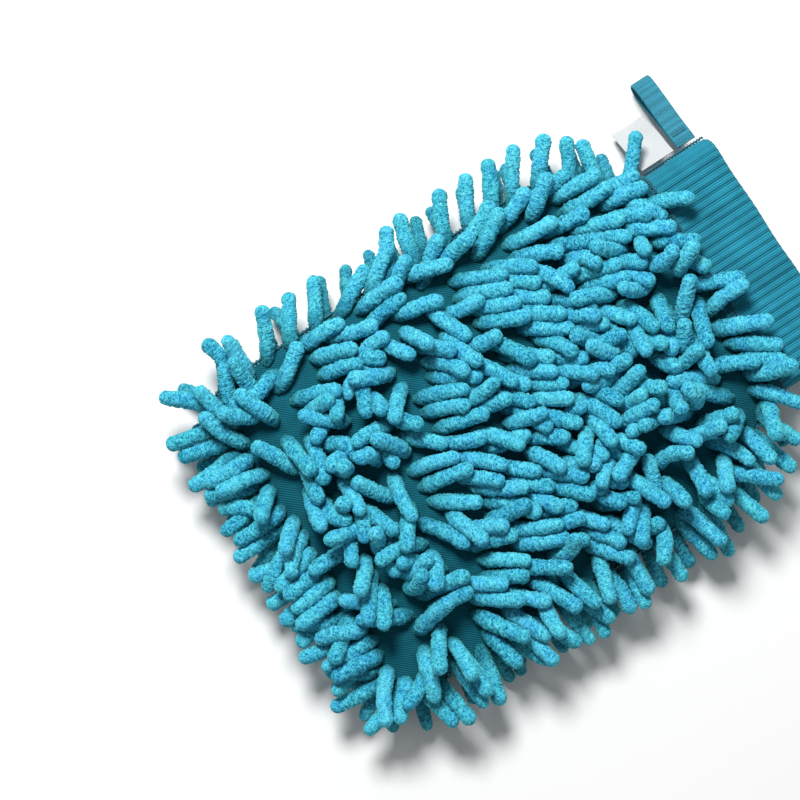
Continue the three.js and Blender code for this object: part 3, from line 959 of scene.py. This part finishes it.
def body_shell(side, inset, columns, rows, level):
    """A closed sheet over the body's plan: level(x, y, outer) is how far out its faces lie."""
    v = np.linspace(0, 1, rows)[:, None]
    u = np.linspace(-1, 1, columns)
    y = lerp(TIP_Y + inset, JOIN_Y - 0.2, v) * np.ones_like(u)
    x = np.sin(CROWDING * u) / math.sin(CROWDING) * half_width(y, -inset)
    shells = [xyz(x, y, SEAM_Z + side * level(x, y, outer)) for outer in (True, False)]
    quads = grid_faces(rows, columns)
    count = rows * columns
    right = np.arange(1, rows) * columns + columns - 1
    end = count - 2 - np.arange(columns - 1)
    left = np.arange(rows - 2, 0, -1) * columns
    rim = np.concatenate([np.arange(columns), right, end, left])
    ahead = np.roll(rim, -1)
    wall = np.stack([ahead, rim, rim + count, ahead + count], -1)
    faces = np.concatenate([quads, quads[:, ::-1] + count, wall])
    return shells, [faces[:, ::side]]


def puckered(x, y):
    """Furrows where rows are sewn down, puckers beside them and gathers at the cuff."""
    nearest = np.min(np.abs(y[..., None] - ROW_LINES), axis=-1)
    furrow = FURROW_DEPTH * np.exp(-((nearest / FURROW_WIDTH) ** 2))
    pucker = PUCKER * np.sin(TURN * x / ROW_PITCH) * np.exp(-((nearest / 5) ** 2))
    gather = GATHER * smoothstep(y, JOIN_Y - 16, JOIN_Y) * np.sin(TURN * x / 6.5 + np.sin(x / 9))
    edge = np.clip(swell(x, y) * 3, 0, 1)
    return edge * (pucker - furrow) + gather * np.clip(swell(x, y) * 1.5, 0, 1) - 0.3 * edge


def build_fabric(word, side, lift, _):
    def level(x, y, outer):
        start = FABRIC_OUT if outer else FABRIC_OUT - FABRIC_THICKNESS
        return start + lift * swell(x, y) + puckered(x, y)

    shell = body_shell(side, 0, 180, 220, level)
    piece = add_piece(f"{word}_backing_fabric", shell, BACKING, f"{word}_pile_fabric")
    pieces = pile_pieces[word]
    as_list(pieces)


def build_lining(word, side, _, lift):
    def level(x, y, outer):
        start = LINING_IN + (LINING_THICKNESS if outer else 0)
        full = swell(x, y)
        crease = CREASE * np.sin(x / 7 + np.sin(y / 13)) * np.sin(y / 19 + 1) * full
        return start + lift * full + crease

    shell = body_shell(side, 0, 90, 110, level)
    piece = add_piece(f"{word}_pocket_lining", shell, LINING, f"{word}_lining")


def build_foam(word, side, fabric_lift, lining_lift):
    def level(x, y, outer):
        if outer:
            return FABRIC_OUT - FABRIC_THICKNESS - FOAM_CLEAR[1] + (fabric_lift - 0.6) * swell(x, y)
        return LINING_IN + LINING_THICKNESS + FOAM_CLEAR[0] + lining_lift * swell(x, y)

    shell = body_shell(side, PAD_INSET, 60, 70, level)
    add_piece(f"{word}_foam", shell, FOAM, f"{word}_foam_pad")


for build in (build_fabric, build_lining, build_foam):
    build("front", 1, FRONT_LIFT, POCKET_RISE)
    build("back", -1, BACK_LIFT, POCKET_SAG)

# ---- overlocked edge seam ----

SEAM_THREAD = 0.38
SEAM_PITCH = 2.0
SEAM_OUT = GAP + 0.7


def resampled(path, spacing):
    along = distances(path)
    places = np.linspace(0, along[-1], int(along[-1] / spacing) + 1)
    return np.stack([np.interp(places, along, column) for column in path.T], -1), places


def squared(wave):
    """A sine or cosine with flatter tops and steeper sides."""
    return np.sign(wave) * np.abs(wave) ** 0.6


def overlock(path, half_depth, half_height, pitch, thread):
    """A core strip with a thread wound round it along a path."""
    line, places = resampled(path, 0.5)
    outward = unit(np.cross(unit(np.gradient(line, axis=0)), UP))[:, None]
    turn = once_round(14)[:, None]
    wave = 1 + 0.06 * np.cos(TURN * places / pitch)[:, None, None]
    section = outward * squared(np.cos(turn)) * half_depth + UP * squared(np.sin(turn)) * half_height
    core = line[:, None] + wave * section
    fine, places = resampled(path, pitch / 20)
    outward = unit(np.cross(unit(np.gradient(fine, axis=0)), UP))
    angle = TURN * places[:, None] / pitch
    wound = fine + outward * (np.cos(angle) * (half_depth + 0.5 * thread))
    wound = wound + UP * (np.sin(angle) * (half_height + 0.3 * thread))
    strip = (core.reshape(-1, 3), grid_faces(len(line), len(turn), False, True))
    return joined([strip, tube(wound, thread)])


seam_path = np.insert(outline_points(SEAM_OUT), 2, SEAM_Z, axis=1)
seam_shape = overlock(seam_path, 0.6, FABRIC_OUT - 0.3, SEAM_PITCH, SEAM_THREAD)
add_piece("overlocked_edge", seam_shape, THREAD, "edge_seam")

# ---- knitted cuff ----

CUFF_WALL = 4.6
CUFF_LAYER = 1.4
CUFF_Z = (cuff_low[2] + cuff_high[2]) / 2
CUFF_RADIUS = (cuff_high[2] - cuff_low[2]) / 2
CUFF_STRAIGHT = HALF_MOUTH - CUFF_RADIUS
AROUND_CUFF = 4 * CUFF_STRAIGHT + TURN * CUFF_RADIUS
RIBS = int(AROUND_CUFF / 4.1)
RIB_PITCH = AROUND_CUFF / RIBS
COURSE_PITCH = 1.9
HEM_LINES = (MOUTH_Y - 23, MOUTH_Y - 2.6)  # stitched on both sides of the elastic
SAG = 0.9
SAG_WAVE = 0.45


def once_round_cuff(count):
    """Distances evenly round the cuff."""
    return np.linspace(0, AROUND_CUFF, count, endpoint=False)


def oval(distance, inset):
    """Points and outward directions on the cuff's oval, a distance round from the right."""
    d = np.mod(distance, AROUND_CUFF)
    arc, flat = math.pi * CUFF_RADIUS, 2 * CUFF_STRAIGHT
    part = np.digitize(d, [arc / 2, arc / 2 + flat, 1.5 * arc + flat, 1.5 * arc + 2 * flat])
    angle = np.choose(part, [d, arc / 2, d - flat, 1.5 * arc, d - 2 * flat]) / CUFF_RADIUS
    top, bottom = (flat + arc) / 2 - d, d - 1.5 * (arc + flat)
    middle = np.choose(part, [flat / 2, top, -flat / 2, bottom, flat / 2])
    out = xyz(np.cos(angle), 0 * angle, np.sin(angle))
    centre = xyz(middle, 0 * middle, CUFF_Z + 0 * middle)
    return centre + out * (CUFF_RADIUS - np.asarray(inset))[..., None], out


def relaxed(points):
    """Lets the cuff's two faces sag a little towards each other, away from the join."""
    x, y, z = parts_of(points)
    share = smoothstep(y, JOIN_Y + 6, MOUTH_Y) * (1 - smoothstep(np.abs(x), 10, CUFF_STRAIGHT + 4))
    sag = share * (SAG + SAG_WAVE * np.sin(x / 9 + 1.0) * np.cos(y / 14))
    eased = points.copy()
    eased[..., 2] -= sag * np.tanh((z - CUFF_Z) / 3)
    return eased


def cuff_section():
    """The folded cuff's section as (inset, y, rib share), once round."""
    start, middle = JOIN_Y + 0.1, CUFF_WALL / 2
    along = np.linspace(start, MOUTH_Y - middle, 46)
    rows = [(0.0, y, 1.0) for y in along]
    for a in np.linspace(0, math.pi, 12)[1:-1]:
        rows.append((middle * (1 - math.cos(a)), MOUTH_Y - middle * (1 - math.sin(a)), 1.0))
    rows += [(CUFF_WALL, y, 1.0) for y in along[::-1]]
    inner = np.linspace(start, MOUTH_Y - middle - 0.4, 16)
    rows += [(CUFF_WALL - CUFF_LAYER, y, 0.0) for y in inner]
    reach = middle - CUFF_LAYER
    for a in np.linspace(math.pi, 0, 6)[1:-1]:
        rows.append((middle - reach * math.cos(a), inner[-1] + reach * math.sin(a), 0.0))
    rows += [(CUFF_LAYER, y, 0.0) for y in inner[::-1]]
    return np.array(rows)


def build_cuff():
    section = cuff_section()
    d = once_round_cuff(RIBS * 10)
    inset, y, rib = (column[:, None] for column in section.T)
    wale = squared(np.cos(TURN * d / RIB_PITCH))
    course = 0.06 * np.sin(TURN * y / COURSE_PITCH + TURN * d / RIB_PITCH)
    inward = np.where(inset > CUFF_WALL / 2, -1.0, 1.0)
    elastic = smoothstep(y, MOUTH_Y - 25, MOUTH_Y - 20) * (1 - smoothstep(y, MOUTH_Y - 4, MOUTH_Y))
    gather = elastic * (0.5 * np.sin(TURN * d / 13 + np.sin(d / 17)) + 0.3 * np.sin(d / 2.9))
    lines = sum(np.exp(-(((y - line) / 0.7) ** 2)) for line in HEM_LINES)
    depth = rib * (0.5 - 0.42 * wale - course + 0.35 * lines - 0.5 * gather)
    points, _ = oval(d + 0 * y, inset + inward * depth)
    points[..., 1] = y + rib * 0.25 * np.sin(d / 6.1) * smoothstep(y, MOUTH_Y - 8, MOUTH_Y)
    faces = grid_faces(len(section), len(d), True, True)
    piece = add_piece("ribbed_cuff", (relaxed(points), [faces]), RIB, "rib_cuff")


def build_elastic():
    """A flat band with cords along its outer and inner face and fine cross threads."""
    low, high = box_mm("cuff_elastic")
    outer = HALF_MOUTH - high[0] + 0.1
    d = once_round_cuff(520)
    across = np.linspace(low[1], high[1], 33)
    cord = 0.07 * np.cos(TURN * (across - low[1]) / 2.5)
    fine = 0.04 * np.sin(TURN * d / 1.6)
    inset = np.concatenate([outer - cord[:, None] + fine, outer + 0.7 + cord[::-1, None] - fine])
    points, _ = oval(d + 0 * inset, inset)
    points[..., 1] = np.concatenate([across, across[::-1]])[:, None]
    faces = grid_faces(*inset.shape, True, True)
    piece = add_piece("elastic_band", (relaxed(points), [faces]), ELASTIC, "cuff_elastic")


def build_join_stitching():
    """Two needle lines with a looper thread crossing between them, round the cuff."""
    low, high = box_mm("cuff_join_stitching")
    stitches = int(AROUND_CUFF / 2.6)
    d = once_round_cuff(stitches * 12)
    wave = TURN * np.arange(len(d)) / 12
    parts = []
    for y in (low[1] + 0.4, high[1] - 0.4):
        line, out = oval(d, -GAP + 0.35)
        line[:, 1] = y
        line += out * (0.22 * np.cos(wave))[:, None]
        parts.append(tube(line, 0.36, True))
    for shift in (0, math.pi):
        line, out = oval(d, -GAP - 0.2)
        line[:, 1] = (low[1] + high[1]) / 2 + (high[1] - low[1] - 0.9) / 2 * np.sin(wave + shift)
        line += out * (0.25 * np.cos(wave * 2 + shift))[:, None]
        parts.append(tube(line, 0.3, True))
    add_piece("cover_stitch", joined(parts), THREAD, "cuff_join_stitching")


def build_cuff_seam():
    low, high = box_mm("cuff_side_seam")
    x = (low[0] + high[0]) / 2
    path = np.array([[x, low[1] + 0.4, CUFF_Z], [x, high[1] - 0.4, CUFF_Z]])
    shape = overlock(path, (high[0] - low[0]) / 2 - 0.25, (high[2] - low[2]) / 2 - 0.3, 1.7, 0.3)
    add_piece("cuff_seam_thread", shape, THREAD, "cuff_side_seam")


build_cuff()
build_elastic()
build_join_stitching()
build_cuff_seam()

# ---- hanging loop and care label ----

LOOP_REACH = 42.0  # from the hinge
LOOP_TAPE = 1.3  # its thickness
LOOP_INNER = 4.6  # radius of the eye
LOOP_DROOP = math.radians(24)
TACK_PLACE = (7.0, 1.1)  # how far out the bar tack is and how far it swings
TACK_STITCHES = 18
LABEL_LENGTH = 30.0
LABEL_WIDTH = 18.0
LABEL_HEM = 0.93  # where its folded hem starts
LABEL_DROOP = math.radians(38)


def joint_place(name):
    joint = next(j for j in frame["joints"] if j["name"] == name)
    return np.array(joint["pos_m"], float) / MM


def hung(points, pivot, droop):
    """Turns points from (out, across, up) at a hinge to their place, drooping to -X."""
    out, across, up = parts_of(points)
    x = pivot[0] - out * math.cos(droop) - up * math.sin(droop)
    z = pivot[2] - out * math.sin(droop) + up * math.cos(droop)
    return xyz(x, pivot[1] + across, z)


def hung_tape(middle, half, pivot, droop):
    """A tape from its middle surface and its half thickness, as rows of (out, across, up)."""
    section = np.concatenate([middle + half, (middle - half)[:, ::-1]], 1)
    rows, columns = section.shape[:2]
    end = np.arange(columns)[None]
    faces = [grid_faces(rows, columns, False, True), end[:, ::-1], end + (rows - 1) * columns]
    return hung(section, pivot, droop), faces


def loop_path():
    """Points (out, up, thickness) along the tape: out from the hinge, round the eye and back."""
    centre = LOOP_REACH - LOOP_TAPE - LOOP_INNER
    out = np.concatenate([np.linspace(0.6, 9, 22), np.linspace(9, centre, 60)[1:]])
    thick = lerp(0.3, LOOP_TAPE, smoothstep(out, 0.5, 3.6))
    up = LOOP_INNER * smoothstep(out, 8.0, centre) + thick / 2 + 0.02
    turn = np.linspace(math.pi / 2, -math.pi / 2, 40)[1:-1]
    radius = LOOP_INNER + LOOP_TAPE / 2 + 0.02
    arc = xyz(centre + radius * np.cos(turn), radius * np.sin(turn), np.full_like(turn, LOOP_TAPE))
    leg = xyz(out, up, thick)
    return np.concatenate([leg, arc, leg[::-1] * [1, -1, 1]])


def build_loop():
    low, high = box_mm("hanging_loop")
    half_width = (high[1] - low[1]) / 2
    pivot = joint_place("loop_swing")
    line, places = resampled(loop_path(), 0.3)
    tangent = unit(np.gradient(line[:, :2], axis=0))
    across = np.linspace(-1, 1, 31)
    herring = np.sin(TURN * (places[:, None] / 1.5 + np.abs((across * 2.5) % 2 - 1)))
    selvedge = 0.12 * np.exp(-(((np.abs(across) - 0.93) / 0.05) ** 2))
    round_edge = np.sqrt(np.clip(1 - across**14, 0.02, 1))
    swollen = line[:, 2:] / 2 * round_edge + 0.07 * herring * round_edge + selvedge
    flat = 0 * swollen
    middle = xyz(line[:, :1] + flat, across * half_width + flat, line[:, 1:2] + flat)
    half = xyz(-tangent[:, 1:] * swollen, flat, tangent[:, :1] * swollen)
    tape = hung_tape(middle, half, pivot, LOOP_DROOP)
    piece = add_piece("woven_loop", tape, WEBBING, "hanging_loop", body="loop")
    bar = np.linspace(0, 1, 220)
    out = TACK_PLACE[0] + TACK_PLACE[1] * np.sin(TURN * TACK_STITCHES * bar)
    zigzag = xyz(out, (bar * 2 - 1) * (half_width - 1.4), np.full_like(bar, LOOP_TAPE + 0.12))
    tacks = [tube(hung(zigzag * [1, 1, side], pivot, LOOP_DROOP), 0.24) for side in (1, -1)]
    add_piece("loop_bar_tack", joined(tacks), THREAD, body="loop")


def build_label():
    out = np.linspace(0.6, LABEL_LENGTH, 90)[:, None]
    across = np.linspace(-1, 1, 50)
    share = out / LABEL_LENGTH
    curl = 0.9 * np.sin(math.pi * share) + 0.5 * share**3 * across**2
    ripple = 0.12 * np.sin(across * 4 + share * 5) * share
    hem = 0.18 * (share > LABEL_HEM) + 0.05 * np.exp(-(((share - LABEL_HEM) / 0.012) ** 2))
    width = across * LABEL_WIDTH / 2 * (1 - 0.01 * np.sin(share * 9))
    thick = (lerp(0.22, 0.28, share) + hem) * np.sqrt(np.clip(1 - across**20, 0.05, 1))
    middle = xyz(out + 0 * width, width, curl + ripple)
    half = xyz(0 * thick, 0 * thick, thick)
    tape = hung_tape(middle, half, joint_place("label_swing"), LABEL_DROOP)
    piece = add_piece("satin_label", tape, SATIN, "care_label", body="label")


build_loop()
build_label()

# ---- floor and light ----

FLOOR_SIZE = 2000
KEY_TOWARDS = (-0.22, 0.62, 1.0)  # in the picture's right, top and height
KEY_DISTANCE = 1.5  # metres
KEY_SIZE = 0.5
KEY_POWER = 31
WORLD_LIGHT = 0.3


def add_floor():
    points = FLOOR_SIZE * np.array([[-1, -1, 0], [1, -1, 0], [1, 1, 0], [-1, 1, 0]])
    floor = new_object("floor", points, [np.array([[0, 1, 2, 3]])])
    f = Finish("floor_paint")
    colour = f.ramp(f.noise(300, 2), (0.3, 0.80), (0.7, 0.82))
    floor.data.materials.append(f.done(colour, 0.9, specular=0.1)[0])


def add_studio():
    data = bpy.data.lights.new("key", "AREA")
    data.shape = "DISK"
    data.size = KEY_SIZE
    data.energy = KEY_POWER
    light = bpy.data.objects.new("key", data)
    scene.collection.objects.link(light)
    aim = (Matrix.Rotation(VIEW_TURN, 3, "Z") @ Vector(KEY_TOWARDS)).normalized()
    light.location = Vector((0, 0, VIEW_HEIGHT * MM)) + aim * KEY_DISTANCE
    light.rotation_euler = aim.to_track_quat("Z", "Y").to_euler()
    world = bpy.data.worlds.new("studio")
    world.use_nodes = True
    background = world.node_tree.nodes["Background"]
    background.inputs["Color"].default_value = (1, 1, 1, 1)
    background.inputs["Strength"].default_value = WORLD_LIGHT
    scene.world = world
    scene.view_settings.view_transform = "Standard"


add_floor()
add_studio()
